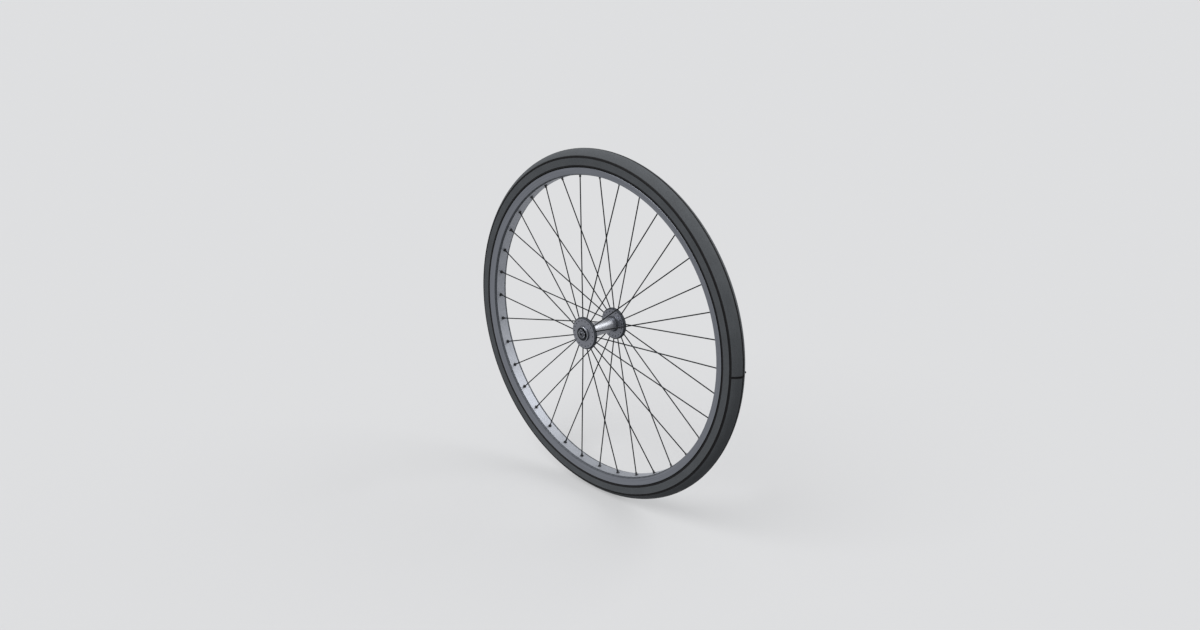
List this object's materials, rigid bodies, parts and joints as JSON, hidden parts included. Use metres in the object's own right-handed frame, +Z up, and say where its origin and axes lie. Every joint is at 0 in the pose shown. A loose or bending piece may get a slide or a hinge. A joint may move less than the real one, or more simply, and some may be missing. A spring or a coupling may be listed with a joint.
{
  "type": "bicycle wheel",
  "caption": "Spoked bicycle wheel with airless tyre, rolled steel rim, radial spokes and high-flange hub on a hollow axle.",
  "frame": {"origin": "centre of the wheel, on the axle's axis in the rim's middle plane", "axes": "+Y along the axle towards the wheel's left-hand side, +Z up, +X the way the wheel rolls"},
  "size_m": [0.7026, 0.1016, 0.7026],
  "materials": {
    "tyre": "moulded cellular rubber, dull, dusty, one open splice",
    "rim": "rolled steel, dull grey with pressed notches",
    "spoke_bed": "blackened brass nipples and eyelets",
    "spoke": "drawn steel wire, darkened",
    "hub": "cast and turned aluminium, satin flanges and polished barrel",
    "bearing_steel": "hardened ground steel",
    "axle_steel": "threaded steel, oiled"
  },
  "bodies": {
    "axle_set": {"axle": "axle_steel", "cone_right": "bearing_steel", "cone_left": "bearing_steel", "keyed_washer_right": "axle_steel", "keyed_washer_left": "axle_steel", "locknut_right": "axle_steel", "locknut_left": "axle_steel"},
    "wheel": {"tyre": "tyre", "rim": "rim", "rim_eyelets": "spoke_bed", "spoke_nipples": "spoke_bed", "spoke_01": "spoke", "spoke_02": "spoke", "spoke_03": "spoke", "spoke_04": "spoke", "spoke_05": "spoke", "spoke_06": "spoke", "spoke_07": "spoke", "spoke_08": "spoke", "spoke_09": "spoke", "spoke_10": "spoke", "spoke_11": "spoke", "spoke_12": "spoke", "spoke_13": "spoke", "spoke_14": "spoke", "spoke_15": "spoke", "spoke_16": "spoke", "spoke_17": "spoke", "spoke_18": "spoke", "spoke_19": "spoke", "spoke_20": "spoke", "spoke_21": "spoke", "spoke_22": "spoke", "spoke_23": "spoke", "spoke_24": "spoke", "spoke_25": "spoke", "spoke_26": "spoke", "spoke_27": "spoke", "spoke_28": "spoke", "spoke_29": "spoke", "spoke_30": "spoke", "spoke_31": "spoke", "spoke_32": "spoke", "spoke_33": "spoke", "spoke_34": "spoke", "spoke_35": "spoke", "spoke_36": "spoke", "hub_shell": "hub", "cup_right": "bearing_steel", "cup_left": "bearing_steel", "dust_cap_right": "axle_steel", "dust_cap_left": "axle_steel"},
    "ball_ring_right": {"bearing_balls_right": "bearing_steel", "ball_cage_right": "bearing_steel"},
    "ball_ring_left": {"bearing_balls_left": "bearing_steel", "ball_cage_left": "bearing_steel"}
  },
  "joints": [
    {"name": "wheel_spin", "type": "hinge", "parent": "axle_set", "child": "wheel", "pos_m": [0, 0, 0], "axis": [0, 1, 0], "continuous": true},
    {"name": "ball_ring_right_roll", "type": "hinge", "parent": "axle_set", "child": "ball_ring_right", "pos_m": [0, -0.04004, 0], "axis": [0, 1, 0], "continuous": true},
    {"name": "ball_ring_left_roll", "type": "hinge", "parent": "axle_set", "child": "ball_ring_left", "pos_m": [0, 0.04004, 0], "axis": [0, 1, 0], "continuous": true}
  ],
  "couplings": [
    {"joint": "ball_ring_right_roll", "follows": "wheel_spin", "ratio": 0.5978},
    {"joint": "ball_ring_left_roll", "follows": "wheel_spin", "ratio": 0.5978}
  ]
}
